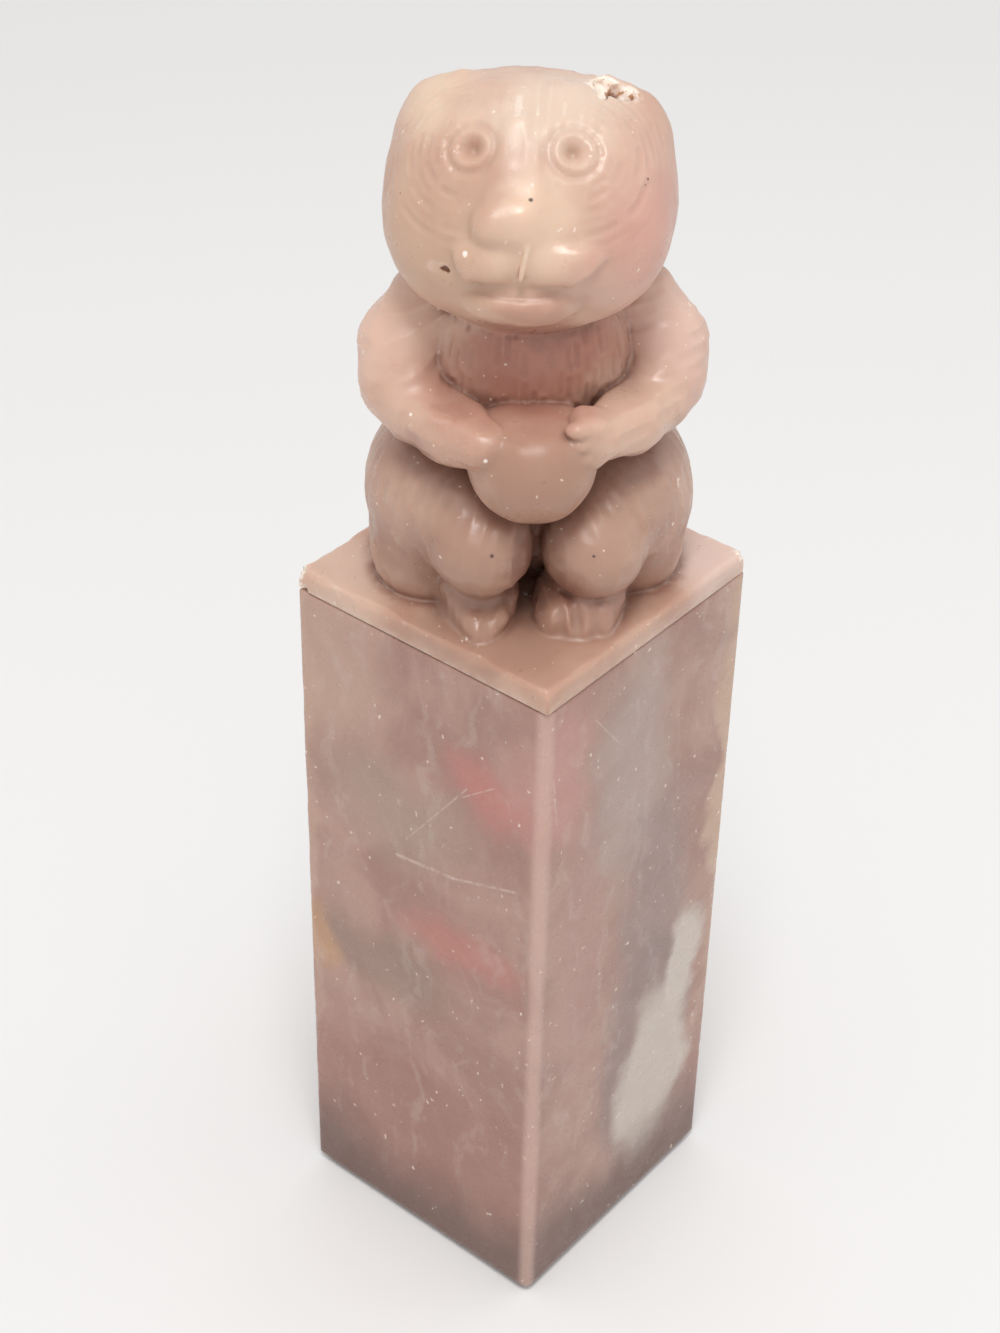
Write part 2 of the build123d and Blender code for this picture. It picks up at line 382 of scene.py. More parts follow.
def nose(q):
    """A flat ridge from the brow that widens into a broad nose, fuller on its left."""
    d = keep(limb(q, *RIDGE), plane(q, *RIDGE_FRONT), RIDGE_ROUNDING)
    d = join(d, egg(q, *BULB), BULB_BLEND)
    d = join(d, egg(q, *NOSE_TIP), NOSE_TIP_BLEND)
    return keep(d, plane(q, *NOSE_RIGHT_SIDE), NOSE_ROUNDING)


LEFT_EAR = ((-7.4, 0.6, 6.6), (-5.1, 0.2, 7.75), 1.15, 1.05)
RIGHT_EAR = ((5, 0.2, 8.05), (7.5, 0.6, 6.6), 1.1, 1.1)


def ears(q):
    return join(limb(q, *LEFT_EAR), limb(q, *RIGHT_EAR))


BROW = (1.2, -5.5, 7.4)
BROW_REACH = (2.6, 5.4)
BROW_STROKES = (0.75, 2.6, 0.15, 3)
BROW_LEAN = 0.1
BROW_SLOPE = 0.4
ARC_STROKES = (0.75, 2.4, 0.14)
ARC_SEED = 5
ARC_RADIUS = 4.5
ARC_SIDE = (-1.8, 0.4)
ARC_REACH = (6, 9)
NAPE_STROKES = (1.3, 5, 0.1, 11)
NAPE_REACH = (-1, 2)


def head_strokes(q):
    """Strokes down the forehead and the nape, and in arcs round each eye's outer side."""
    x, y, z = q.T
    upright = strokes(x + BROW_LEAN * z, z - BROW_SLOPE * y, *BROW_STROKES)
    taken = upright * fade(np.linalg.norm(q - BROW, axis=1), *BROW_REACH)
    for seat, _, _ in EYE_SEATS:
        v = q - seat
        side = math.copysign(1, seat[0])
        r = np.linalg.norm(v, axis=1)
        around = np.arctan2(v[:, 2], side * v[:, 0]) * ARC_RADIUS
        arcs = strokes(r, around, *ARC_STROKES, ARC_SEED + int(side))
        near = fade(-side * v[:, 0], *ARC_SIDE) * fade(r, *ARC_REACH)
        taken = taken + arcs * near
    return taken + strokes(x, z, *NAPE_STROKES) * fade(-y, *NAPE_REACH)


# What the skull carries, and how widely each form runs into it
HEAD_FORMS = ((ears, 0.9), (muzzle, 2.4), (chin, 0.3), (lip_pads, 0.4), (nose, 0.6))
# The furrow from the nose to the lip, and the fine ridge left beside it
FURROW = ((-0.25, -11.1, -0.7), (0.1, -10.95, -3.6), 0.3, 0.42)
FURROW_BLEND = 0.3
FINE_RIDGE = ((0.75, -10.45, -0.7), (0.35, -10.3, -2.9), 0.14, 0.14)
FINE_RIDGE_BLEND = 0.4
# The rough notch beside the mouth's left corner
NOTCH = ((-5.7, -8.25, -2.8), (-4.8, -8.65, -2.9), 0.12, 0.32)
NOTCH_WAVES = (0.1, 1, 3)
NOTCH_BLEND = 0.25


def head(p):
    q = in_head(p)
    d = skull(q)
    for form, blend in HEAD_FORMS:
        d = join(d, form(q), blend)
    d = carve_mouth(d, q)
    d = cut(d, limb(q, *FURROW), FURROW_BLEND)
    d = join(d, limb(q, *FINE_RIDGE), FINE_RIDGE_BLEND)
    d = cut(d, limb(q, *NOTCH) + waves(q, *NOTCH_WAVES), NOTCH_BLEND)
    for seat, outward, radius in EYE_SEATS:
        d = carve_eye(d, q, seat, outward, radius)
    return d + head_strokes(q)


CHEST = ((0, 1.6, 17.8), (8.7, 7.5, 9.2))
HIPS = ((0.1, 2, 8.8), (9.9, 8.1, 9.8))
TRUNK_BLEND = 1.8
FAN_STROKES = (0.55, 2.4, 0.21, 17)
FAN_MIDDLE = 4
FAN_RADIUS = 8


def trunk(p):
    """Chest and hips, scored by upright strokes that fan out from behind."""
    d = join(egg(p, *CHEST), egg(p, *HIPS), TRUNK_BLEND)
    around = np.arctan2(p[:, 0], -p[:, 1] + FAN_MIDDLE) * FAN_RADIUS
    return d + strokes(around, p[:, 2], *FAN_STROKES)


# Each arm from shoulder to paw: x, y, z and radius. The forearm starts at the fourth joint.
LEFT_ARM = ((-7.2, 1.2, 21.9, 3.25), (-9.45, -0.2, 19.6, 3), (-9.6, -1.8, 17.2, 2.75),
            (-8.4, -3.6, 16.2, 2.65), (-6.2, -6.4, 15.9, 2.3), (-4.2, -9.3, 16.1, 1.95))
RIGHT_ARM = ((7.9, 1.2, 21.7, 3.2), (9.9, -0.2, 19.2, 2.95), (9.95, -1.8, 17, 2.65),
             (8.7, -3.6, 16.1, 2.45), (6.6, -6.2, 16, 2.25), (4.1, -8.8, 16.4, 1.95))
ELBOW = 3
ARM_BLEND = 1.5
ELBOW_BLEND = 0.9
FOREARM_FLAT = 1.75
FOREARM_ROUNDING = 0.35
ARM_STROKES = (1.1, 3.8, 0.16)
ARM_LEAN = 0.4


def arm(p, joints, seed):
    """Upper arm and forearm, the forearm pared flat along its upper side."""
    elbow = np.array(joints[ELBOW][:3])
    along = np.array(joints[-1][:3]) - elbow
    along = along / np.linalg.norm(along)
    across = np.cross(along, (0, 0, 1))
    above = np.cross(across, along)
    q = p - elbow
    forearm = chain(p, joints[ELBOW:], ARM_BLEND)
    forearm = keep(forearm, q @ above - FOREARM_FLAT, FOREARM_ROUNDING)
    d = join(chain(p, joints[:ELBOW + 1], ARM_BLEND), forearm, ELBOW_BLEND)
    return d + strokes(q @ (above + ARM_LEAN * across), q @ along, *ARM_STROKES, seed)


LEFT_ARM_SEED = 21
LEFT_PAW_END = ((-2.8, 0, 0), (1, 0, 0))
PAW_ROUNDING = 0.4


def left_arm(p):
    """The left arm, its paw cut off flat against the pot."""
    return keep(arm(p, LEFT_ARM, LEFT_ARM_SEED), plane(p, *LEFT_PAW_END), PAW_ROUNDING)


RIGHT_ARM_SEED = 22
RIGHT_PAW = ((3.15, -9.2, 16.4), (1.35, 1.7, 2.2), 1.1)
PAW_LEAN = 6.0
PAW_BLEND = 0.6
KNUCKLES = 3
KNUCKLE_TOP = (2.35, -10.45, 17.8)
KNUCKLE_STEP = (0.12, 0, -1.15)
KNUCKLE_RADII = (0.95, 0.75, 0.62)
KNUCKLE_BLEND = 0.25


def right_arm(p):
    """The right arm, with an upright paw and its knuckles laid on the pot."""
    paw = slab(p, *RIGHT_PAW, axis_turn("y", PAW_LEAN))
    d = join(arm(p, RIGHT_ARM, RIGHT_ARM_SEED), paw, PAW_BLEND)
    for knuckle in range(KNUCKLES):
        centre = np.array(KNUCKLE_TOP) + knuckle * np.array(KNUCKLE_STEP)
        d = join(d, egg(p, centre, KNUCKLE_RADII), KNUCKLE_BLEND)
    return d


ARMS_BLEND = 0.3


def arms(p):
    return join(left_arm(p), right_arm(p), ARMS_BLEND)


# Each leg: haunch and seat as eggs, thigh and knee as limbs, shin as an egg
LEFT_LEG = (((-7, 0.2, 6.8), (5.35, 7.2, 7)),
            ((-6.4, 0.6, 2.4), (5.6, 6.4, 4.2), 2.6),
            ((-6, -2.6, 8), (-4, -7.1, 6.4), 4.9, 3.75),
            ((-3.95, -7.3, 6.2), (-3.9, -6.9, 5.2), 3.5, 3.1),
            ((-4.2, -5.6, 2.6), (2.7, 3.2, 3.2)))
RIGHT_LEG = (((7.3, 0.2, 6.4), (5.55, 7.2, 6.9)),
             ((6.6, 0.6, 2.4), (5.7, 6.4, 4.2), 2.6),
             ((6.4, -2.6, 7.6), (4.5, -6.9, 5.8), 4.9, 3.9),
             ((4.3, -7.1, 5.6), (4.2, -6.9, 5.2), 3.7, 3.5),
             ((4.2, -5.2, 2.6), (3.2, 3.6, 3.2)))
HAUNCH_BLEND = 0.8
SHIN_BLEND = 0.5


def leg(p, haunch, seat, thigh, knee, shin):
    """A full haunch, and a bent knee that overhangs the shin."""
    d = join(egg(p, *haunch), egg(p, *seat), HAUNCH_BLEND)
    bent = join(limb(p, *thigh), limb(p, *knee), HAUNCH_BLEND)
    return join(d, join(bent, egg(p, *shin), SHIN_BLEND), SHIN_BLEND)


FOOT_ROUNDING = 0.8
FOOT_BLEND = 0.6
WEDGE = ((-4, -7.6, 0.8), (3, 3.8, 1.9))
WEDGE_TIP = (-4, -11.2, 0.9)
WEDGE_TIP_HALF = 0.6
WEDGE_FLARE = 0.62
WEDGE_FLARE_SCALE = 0.85
WEDGE_TOP_WAY = (0, -0.378, 0.9)
WEDGE_TOP_ROUNDING = 0.9
WEDGE_WAVES = (0.22, 1.5, 12)


def left_foot(p):
    """A wedge that comes to a point, its top sloping down to it."""
    x, y, _ = p.T
    tip_x, tip_y, _ = WEDGE_TIP
    d = slab(p, *WEDGE, FOOT_ROUNDING)
    half_width = WEDGE_TIP_HALF + WEDGE_FLARE * (y - tip_y)
    d = keep(d, WEDGE_FLARE_SCALE * (np.abs(x - tip_x) - half_width), FOOT_ROUNDING)
    d = keep(d, plane(p, WEDGE_TIP, WEDGE_TOP_WAY), WEDGE_TOP_ROUNDING)
    return d + waves(p, *WEDGE_WAVES)


RIGHT_FOOT = ((3.6, -7.2, 0.2), (3.6, 3.8, 2.5), 3.2)
RIGHT_FOOT_SLANT = ((5.5, -10.6, 0), (0.9, -0.44, 0))
TOE_GROOVES = 3
TOE_FIRST_X = 1.6
TOE_STEP = 1.35
TOE_TOP = (-10.3, 2.9)
TOE_BOTTOM = (-11.1, 0.4)
TOE_RADII = (0.2, 0.3)
RIGHT_FOOT_WAVES = (0.18, 1.4, 13)


def right_foot(p):
    """A rounded block, slanted off outside, with grooves between its toes."""
    d = keep(egg(p, *RIGHT_FOOT), plane(p, *RIGHT_FOOT_SLANT), FOOT_ROUNDING)
    for groove in range(TOE_GROOVES):
        x = TOE_FIRST_X + TOE_STEP * groove
        d = cut(d, limb(p, (x, *TOE_TOP), (x, *TOE_BOTTOM), *TOE_RADII), FOOT_BLEND)
    return d + waves(p, *RIGHT_FOOT_WAVES)


LEGS_BLEND = 0.25
LEG_STROKES = (0.9, 2.8, 0.13, 25)
LEG_RADIUS = 9


def legs(p):
    left = join(leg(p, *LEFT_LEG), left_foot(p), FOOT_BLEND)
    right = join(leg(p, *RIGHT_LEG), right_foot(p), FOOT_BLEND)
    around = np.arctan2(p[:, 0], -p[:, 1]) * LEG_RADIUS
    return join(left, right, LEGS_BLEND) + strokes(around, p[:, 2], *LEG_STROKES)


POT_CENTRE = (-0.5, -7.9, 14.2)
POT_RADIUS = 4.75
POT_HALF_HEIGHT = 5.0
POT_RIM_Z = 17.5
POT_RIM_ROUNDING = 1.2
POT_FOOT_Z = 9.8
POT_FOOT_ROUNDING = 0.8


def pot(p):
    """A round pot with a flat, rounded rim, held against the belly."""
    d = egg(p, POT_CENTRE, (POT_RADIUS, POT_RADIUS, POT_HALF_HEIGHT))
    d = keep(d, p[:, 2] - POT_RIM_Z, POT_RIM_ROUNDING)
    return keep(d, POT_FOOT_Z - p[:, 2], POT_FOOT_ROUNDING)


FAR = 5.0


def between(p, low, high, form):
    """The form, worked out only between two heights that it doesn't reach."""
    d = np.full(len(p), FAR)
    there = (p[:, 2] > low) & (p[:, 2] < high)
    if there.any():
        d[there] = form(p[there])
    return d


# What the trunk carries: form, heights that it doesn't reach, and how widely it runs in
BODY_FORMS = ((legs, -3, 16.5, 0.6), (pot, 8, 19.5, 0.25),
              (arms, 11, 27.5, 0.2), (head, 20, 45, 0.45))
FIGURE_WAVES = ((0.1, 3.4, 1), (0.04, 1.1, 2))
CROWN_LOWERED = 0.14
CROWN_REACH = (-39, -36)


def figure(p):
    d = trunk(p)
    for form, low, high, blend in BODY_FORMS:
        d = join(d, between(p, low, high, form), blend)
    for wave in FIGURE_WAVES:
        d = d + waves(p, *wave)
    return d + CROWN_LOWERED * fade(-p[:, 2], *CROWN_REACH)


PLATE_HALF = 12.495
PLATE_TURN = axis_turn("z", 45)
EDGE_WEAR = 0.16
EDGE_WAVES = ((0.12, 2.3, 4), (0.06, 0.7, 5))
LEAST_EDGE_WEAR = 0.03
CORNER_WEAR = 0.18
CORNER_WAVES = (0.14, 1.5, 6)
TOP_WAVES = ((0.02, 1.2, 7), (0.03, 3, 8))


def plate(p):
    """The square plate, its upper edges and corners worn unevenly."""
    q = p @ PLATE_TURN
    side = np.abs(q[:, :2])
    wear = EDGE_WEAR
    for wave in EDGE_WAVES:
        wear = wear + waves(q, *wave)
    wear = np.maximum(wear, LEAST_EDGE_WEAR)
    across = side.max(1) - PLATE_HALF
    corner = side.sum(1) - 2 * PLATE_HALF + CORNER_WEAR + waves(q, *CORNER_WAVES)
    top = q[:, 2]
    for depth, wavelength, seed in TOP_WAVES:
        top = top + depth * (1 + noise(q, wavelength, seed))
    bottom = -PLATE_THICKNESS - q[:, 2]
    top_edge = (across + top + wear * 2) / math.sqrt(2)
    return np.maximum.reduce([across, corner / math.sqrt(2), top, bottom, top_edge])


# Chips knocked out of the cap: x, y, z and size
CHIPS = (
    (-17.5, 0, -0.4, 0.6),
    (17.45, 0, -0.3, 0.6),
    (-17.3, -0.4, -1.7, 0.4),
    (4.7, -0.3, 39.2, 1.2),
    (5.9, -0.4, 38.5, 1),
)
CHIP_SHARE = 0.9
CHIP_FLOOR_SHARE = 0.45
CHIP_BLEND = 0.08
# Depth, wavelength as a share of the chip's size, and first seed
CHIP_WAVES = ((0.5, 1, 20), (0.25, 0.4, 40))


def chips(p, d):
    for number, (x, y, z, size) in enumerate(CHIPS):
        away = np.linalg.norm(p - (x, y, z), axis=1)
        rough = 0
        for depth, share, seed in CHIP_WAVES:
            rough = rough + waves(p, depth, share * size, seed + number)
        broken = np.maximum(away - size * (CHIP_SHARE + rough), -CHIP_FLOOR_SHARE * size)
        d = cut(d, broken, CHIP_BLEND)
    return d


PLATE_REACH = (-9, 3)
PLATE_BLEND = 0.35


def carving(p):
    d = join(figure(p), between(p, *PLATE_REACH, plate), PLATE_BLEND)
    return chips(p, d)


# Meshes from fields

# Cells of the fine grid along each coarse one
COARSE = 4
# Points worked out at a time
CHUNK = 200000


def sample(field, low, high, voxel, reach):
    """The field on a regular grid, finely only where the surface can be."""
    block = voxel * COARSE
    counts = np.ceil((high - low) / block).astype(int)
    centres = [low[i] + (np.arange(counts[i]) + 0.5) * block for i in range(3)]
    centres = np.stack(np.meshgrid(*centres, indexing="ij"), -1).reshape(-1, 3)
    coarse = field(centres)
    values = coarse.reshape(counts).astype(np.float32)
    for axis in range(3):
        values = np.repeat(values, COARSE, axis)
    near = np.stack(np.unravel_index(np.where(np.abs(coarse) < block + reach)[0], counts), 1)
    offsets = np.stack(np.meshgrid(*[np.arange(COARSE)] * 3, indexing="ij"), -1).reshape(-1, 3)
    fine = (near[:, None] * COARSE + offsets).reshape(-1, 3)
    for start in range(0, len(fine), CHUNK):
        cells = fine[start:start + CHUNK]
        values[tuple(cells.T)] = field(low + cells * voxel)
    return values


def surface_nets(values, low, voxel):
    """Vertices and quads of the zero surface, one vertex in each cell it crosses."""
    inside = values < 0
    shape = np.array(values.shape)
    stride = np.array([shape[1] * shape[2], shape[2], 1])
    flat = values.ravel()
    cells, crossings, quads = [], [], []
    for axis in range(3):
        step = np.eye(3, dtype=int)[axis]
        first = inside.take(range(shape[axis] - 1), axis)
        second = inside.take(range(1, shape[axis]), axis)
        at = np.argwhere(first != second)
        at = at[(at > 0).all(1)]
        here = at @ stride
        a = flat[here]
        b = flat[here + stride[axis]]
        point = at + step * (a / (a - b))[:, None]
        one, two = stride[(axis + 1) % 3], stride[(axis + 2) % 3]
        around = np.stack([here, here - one, here - one - two, here - two], 1)
        around[a > 0] = around[a > 0][:, ::-1]
        quads.append(around)
        cells.append(around.ravel())
        crossings.append(np.repeat(point, 4, axis=0))
    cells = np.concatenate(cells)
    crossings = np.concatenate(crossings)
    used, index = np.unique(cells, return_inverse=True)
    count = np.bincount(index)
    vertices = np.stack([np.bincount(index, crossings[:, i]) / count for i in range(3)], 1)
    faces = np.searchsorted(used, np.concatenate(quads))
    return low + vertices * voxel, faces


def put(name, data):
    """An object with that data, in the scene."""
    made = bpy.data.objects.new(name, data)
    bpy.context.scene.collection.objects.link(made)
    return made


def mesh_object(name, vertices, faces):
    mesh = bpy.data.meshes.new(name)
    mesh.vertices.add(len(vertices))
    mesh.vertices.foreach_set("co", np.ascontiguousarray(vertices, np.float32).ravel())
    mesh.loops.add(faces.size)
    mesh.loops.foreach_set("vertex_index", np.ascontiguousarray(faces, np.int32).ravel())
    mesh.polygons.add(len(faces))
    starts = np.arange(0, faces.size, faces.shape[1], dtype=np.int32)
    mesh.polygons.foreach_set("loop_start", starts)
    mesh.update(calc_edges=True)
    return put(name, mesh)


def thin_out(made, facets):
    """Fewer facets, most of them taken where the surface is flat."""
    have = 2 * len(made.data.polygons)
    if have > facets:
        modifier = made.modifiers.new("thin", "DECIMATE")
        modifier.ratio = facets / have
        graph = bpy.context.evaluated_depsgraph_get()
        thinned = bpy.data.meshes.new_from_object(made.evaluated_get(graph))
        made.modifiers.clear()
        made.data = thinned
    return made


# How far out the stone is felt for, and what each reach counts in how hollow a place is
HOLLOW_REACHES = ((0.35, 0.3), (0.9, 0.25), (2.2, 0.25), (4.5, 0.2))
HOLLOW_NOT_EDGE = 4
EDGE_DEPTH = 0.4
FACING_REACH = 0.6


def carve_object(name, field, low, high, voxel, reach, facets, to_row):
    """A mesh of the field, moved from its own frame in millimetres to the row frame."""
    values = sample(field, np.array(low, float), np.array(high, float), voxel, reach)
    vertices, faces = surface_nets(values, np.array(low, float), voxel)
    made = thin_out(mesh_object(name, vertices, faces), facets)
    mesh = made.data
    count = len(mesh.vertices)
    points = np.empty(count * 3)
    mesh.vertices.foreach_get("co", points)
    points = points.reshape(-1, 3)
    normals = facing(field, points, FACING_REACH * voxel)
    hollow = np.zeros(count)
    for distance, share in HOLLOW_REACHES:
        open_by = np.clip(field(points + normals * distance) / distance, 0, 1)
        hollow += share * (1 - open_by)
    edge = 1 + field(points - EDGE_DEPTH * normals) / EDGE_DEPTH
    # How hollow each point is; the stone is darkened by it, as dirt and painted shade
    store(mesh, "hollow", hollow)
    open_share = np.clip(1 - HOLLOW_NOT_EDGE * hollow, 0, 1)
    store(mesh, "edge", np.clip(edge, 0, 1) * open_share)
    if name == "animal_cap":
        store(mesh, "chipped", chipped(points))
    mesh.vertices.foreach_set("co", (to_row(points) * MM).astype(np.float32).ravel())
    mesh.polygons.foreach_set("use_smooth", np.ones(len(mesh.polygons), bool))
    mesh.update()
    return made


def facing(field, points, reach):
    """The way the surface faces at each point, from the field round it."""
    corners = np.array([(1, -1, -1), (-1, -1, 1), (-1, 1, -1), (1, 1, 1)], float)
    slope = sum(field(points + reach * corner)[:, None] * corner for corner in corners)
    return slope / (np.linalg.norm(slope, axis=1, keepdims=True) + TINY)


def store(mesh, name, values):
    attribute = mesh.attributes.new(name, "FLOAT", "POINT")
    attribute.data.foreach_set("value", np.ascontiguousarray(values, np.float32))


# The ragged rim of a chip's colour, as shares of its size, and the rim's seed
RIM_ROUGHNESS = 0.4
RIM_WAVELENGTH = 0.5
RIM_REACH = (0.9, 1.3)
RIM_SEED = 9


def chipped(p):
    """1 inside a chip, 0 away from it."""
    most = np.zeros(len(p))
    for x, y, z, size in CHIPS:
        away = np.linalg.norm(p - (x, y, z), axis=1)
        away = away + waves(p, RIM_ROUGHNESS * size, RIM_WAVELENGTH * size, RIM_SEED)
        most = np.maximum(most, fade(away / size, *RIM_REACH))
    return most


def cap_to_row(points):
    """From the animal's frame to the row frame, in millimetres."""
    return points @ axis_turn("z", FIGURE_TURN).T + (0, 0, PLATE_TOP)


# The shaft, in the row frame

UPRIGHT_WEAR = 0.16
FRONT_EDGE_WEAR = 0.55
FOOT_BEVEL = 0.9
SEAM_WEAR = 0.07
LEAST_SEAM_WEAR = 0.02
SIDE_INSET = 0.005
FRONT_EDGE_REACH = (-1.9 * HALF_SIDE, -1.5 * HALF_SIDE)
# Unevenness: wavelength and seed
COARSE_WEAR = (3.1, 31)
FINE_WEAR = (0.9, 32)
SIDE_WAVER = (9.0, 33)
# How much of it goes into the sides, the upright edges, the foot and the seam
WAVER_DEPTH = 0.03
UPRIGHT_COARSE = 0.10
UPRIGHT_FINE = 0.05
FOOT_COARSE = 0.1
SEAM_COARSE = 0.08
SEAM_FINE = 0.06
RELIEF_DEPTH = 0.8
RELIEF_BLEND = 0.06
FRAME_WIDTH = 1.7
FRAME_GAP = 0.9
PETAL_WIDTH = 3.2
LATTICE_CELLS = 2
NO_PETAL = 100.0


def petal(x, y, length, width):
    """A pointed leaf between two arcs, lying along X."""
    radius = (length ** 2 / width + width) / 4
    drop = radius - width / 2
    return np.maximum(np.hypot(x, y + drop), np.hypot(x, y - drop)) - radius


def sunk_ground(x, y):
    """Negative where the seal face is cut back: inside the frame, off the petals."""
    field_half = HALF_SIDE - FOOT_BEVEL - FRAME_WIDTH
    lattice_side = 2 * (field_half - FRAME_GAP) - PETAL_WIDTH
    cell = lattice_side / LATTICE_CELLS
    petals = np.full(len(x), NO_PETAL)
    for line in range(LATTICE_CELLS + 1):
        across = line * cell - lattice_side / 2
        for step in range(LATTICE_CELLS):
            along = (step + 0.5) * cell - lattice_side / 2
            petals = np.minimum(petals, petal(x - along, y - across, cell, PETAL_WIDTH))
            petals = np.minimum(petals, petal(y - along, x - across, cell, PETAL_WIDTH))
    return np.maximum(np.maximum(np.abs(x), np.abs(y)) - field_half, -petals)


def shaft(p):
    """The square block, its edges worn unevenly and the seal face cut into its foot."""
    x, y, z = p.T
    coarse = noise(p, *COARSE_WEAR)
    fine = noise(p, *FINE_WEAR)
    waver = WAVER_DEPTH * (1 + noise(p, *SIDE_WAVER))
    outside = np.maximum(np.abs(x), np.abs(y)) - HALF_SIDE
    front = fade(x + y, *FRONT_EDGE_REACH)
    wide = UPRIGHT_WEAR + (FRONT_EDGE_WEAR - UPRIGHT_WEAR) * front
    wide = wide + UPRIGHT_COARSE * coarse + UPRIGHT_FINE * fine
    seam_wear = np.maximum(SEAM_WEAR + SEAM_COARSE * coarse + SEAM_FINE * fine, LEAST_SEAM_WEAR)
    side = outside + SIDE_INSET + waver
    corner = (np.abs(x) + np.abs(y) - 2 * HALF_SIDE + wide) / math.sqrt(2)
    foot = (outside - z + FOOT_BEVEL + FOOT_COARSE * coarse) / math.sqrt(2)
    seam = (outside + z - SHAFT_TOP + seam_wear) / math.sqrt(2)
    d = np.maximum.reduce([side, corner, foot, seam, z - SHAFT_TOP, -z])
    return cut(d, np.maximum(sunk_ground(x, y), z - RELIEF_DEPTH), RELIEF_BLEND)


# Materials

SPOT_NOISE = (0.35, 2.0)
SPOT_FADE = 1.5
SPOT_STRENGTH = 0.85
GAP_NOISE = (0.8, 3.0, 0.7)
GAPS = (0.38, 0.55)
SCRATCH_STRENGTH = 0.65
SCRATCH_FADE = (0.5, 1.5)


def metres(lengths):
    return tuple(length * MM for length in lengths)


class Look:
    """A material's node tree, with one short call for each node."""

    def __init__(self, name):
        self.material = bpy.data.materials.new(name)
        self.material.use_nodes = True
        self.tree = self.material.node_tree
        self.surface = self.tree.nodes["Principled BSDF"]
        self.place = self.node("ShaderNodeTexCoord").outputs["Object"]

    def node(self, kind, inputs=None, **settings):
        made = self.tree.nodes.new(kind)
        for key, value in settings.items():
            setattr(made, key, value)
        for key, value in (inputs or {}).items():
            self.feed(made.inputs[key], value)
        return made

    def feed(self, socket, value):
        if isinstance(value, bpy.types.NodeSocket):
            self.tree.links.new(value, socket)
        else:
            socket.default_value = value

    def finish(self, inputs):
        """What the surface gets for each of its inputs."""
        for key, value in inputs.items():
            self.feed(self.surface.inputs[key], value)

    def math(self, operation, a, b=0.0):
        return self.node("ShaderNodeMath", {0: a, 1: b}, operation=operation).outputs[0]

    def vector(self, operation, a, b, output=0):
        made = self.node("ShaderNodeVectorMath", {0: a, 1: b}, operation=operation)
        return made.outputs[output]

    def ramp(self, value, low, high, to_low=0.0, to_high=1.0):
        """value from low to high, eased onto to_low to to_high."""
        inputs = {"Value": value, "From Min": low, "From Max": high, "To Min": to_low,
                  "To Max": to_high}
        made = self.node("ShaderNodeMapRange", inputs, interpolation_type="SMOOTHSTEP")
        return made.outputs[0]

    def mix(self, share, a, b):
        made = self.node("ShaderNodeMix", data_type="RGBA", clamp_factor=True)
        self.feed(made.inputs[0], share)
        self.feed(made.inputs[6], a)
        self.feed(made.inputs[7], b)
        return made.outputs[2]

    def noise(self, size, detail=2.0, rough=0.5, place=None, warp=0.0):
        """Cloudy noise of that size in millimetres, from 0 to 1."""
        inputs = {"Vector": place or self.place, "Scale": 1 / (size * MM), "Detail": detail,
                  "Roughness": rough, "Distortion": warp}
        return self.node("ShaderNodeTexNoise", inputs).outputs["Fac"]

    def attribute(self, name):
        """What the mesh holds under that name at each of its points."""
        return self.node("ShaderNodeAttribute", attribute_name=name).outputs["Fac"]

    def stretched(self, place, scale):
        return self.node("ShaderNodeMapping", {"Vector": place, "Scale": scale}).outputs[0]

    def length(self, vector):
        return self.node("ShaderNodeVectorMath", {0: vector}, operation="LENGTH").outputs["Value"]

    def patch(self, colour, under, centre, radii, soft, share):
        """A cloud of colour over under, about centre, in millimetres."""
        offset = self.vector("SUBTRACT", self.warped, metres(centre))
        size = self.length(self.vector("DIVIDE", offset, metres(radii)))
        strength = self.ramp(size, 1 - soft, 1 + soft, share, 0.0)
        return self.mix(strength, under, colour)

    def spot(self, colour, under, centre, radius):
        """A small spot with a ragged rim."""
        rim = radius * MM
        away = self.length(self.vector("SUBTRACT", self.place, metres(centre)))
        ragged = self.math("ADD", away, self.math("MULTIPLY", self.noise(*SPOT_NOISE), rim))
        strength = self.ramp(ragged, rim, SPOT_FADE * rim, SPOT_STRENGTH, 0.0)
        return self.mix(strength, under, colour)

    def scratch(self, colour, under, start, end, width, least=0.1):
        """A line from start to end that noise thins out, but to no less than least; used for
        scratches and for painted highlights.
        """
        a = np.array(start, float) * MM
        along = np.array(end, float) * MM - a
        offset = self.vector("SUBTRACT", self.place, tuple(a))
        share = self.vector("DOT_PRODUCT", offset, tuple(along / (along @ along)), "Value")
        share = self.math("MINIMUM", self.math("MAXIMUM", share, 0.0), 1.0)
        inputs = {0: tuple(along), "Scale": share}
        nearest = self.node("ShaderNodeVectorMath", inputs, operation="SCALE").outputs[0]
        away = self.length(self.vector("SUBTRACT", offset, nearest))
        gaps = self.ramp(self.noise(*GAP_NOISE), *GAPS, least, SCRATCH_STRENGTH)
        full, none = (part * width * MM for part in SCRATCH_FADE)
        line = self.ramp(away, full, none, 1.0, 0.0)
        return self.mix(self.math("MULTIPLY", line, gaps), under, colour)


# How a picture's numbers stand for light: straight up to the knee, a power above it
KNEE = 0.04045
KNEE_SLOPE = 12.92
LIFT = 0.055
GAMMA = 2.4


def channel(shown):
    """A share of full colour, as the picture shows it, as linear light."""
    if shown <= KNEE:
        return shown / KNEE_SLOPE
    return ((shown + LIFT) / (1 + LIFT)) ** GAMMA


def linear(code):
    """A colour as the picture shows it, #rrggbb, as linear light."""
    return tuple(channel(int(code[i:i + 2], 16) / 255) for i in (1, 3, 5)) + (1.0,)


PUSH_DETAIL = 4.0
CLOUD_LIMITS = (0.35, 0.65)


